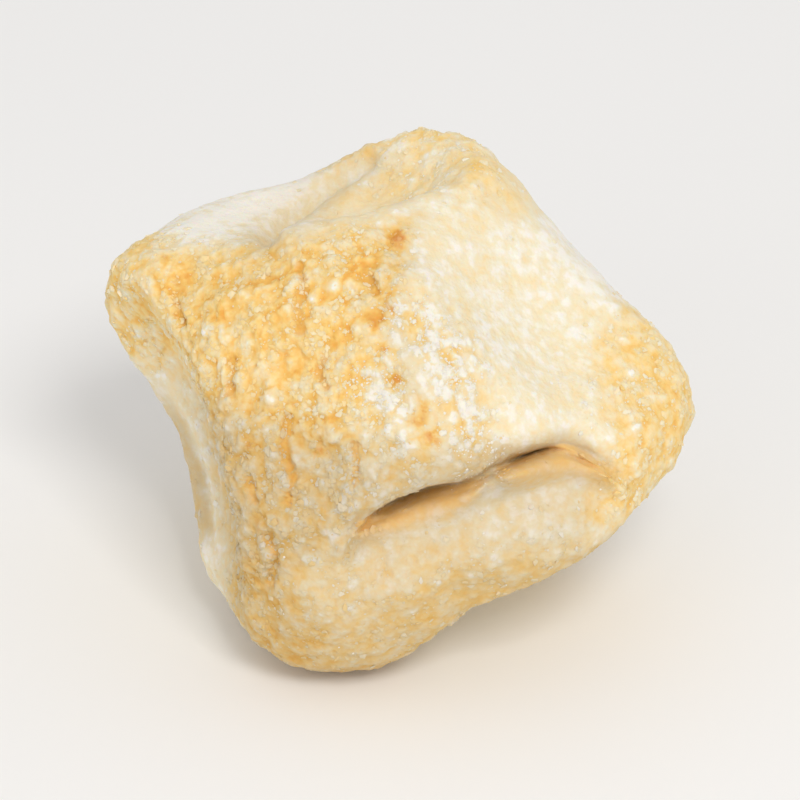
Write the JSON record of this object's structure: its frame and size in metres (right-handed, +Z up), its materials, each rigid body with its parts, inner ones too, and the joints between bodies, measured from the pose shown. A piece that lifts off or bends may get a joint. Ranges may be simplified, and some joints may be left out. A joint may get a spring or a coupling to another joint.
{
  "type": "amaretti cookie",
  "caption": "Soft amaretti cookie: a ball of almond dough pinched by fingertips into a rounded, cornered lump with smooth hollows, a deep slot, a cracked golden face and a flat base.",
  "frame": {"origin": "middle of the cookie's footprint, on the surface it rests on", "axes": "+Z up out of the base; -Y towards the golden face and the slot; +X towards the lobe, with the ear on -X"},
  "size_m": [0.042, 0.0348, 0.032],
  "materials": {
    "baked_dough": null
  },
  "bodies": {
    "root": {"cookie": "baked_dough"}
  },
  "joints": []
}
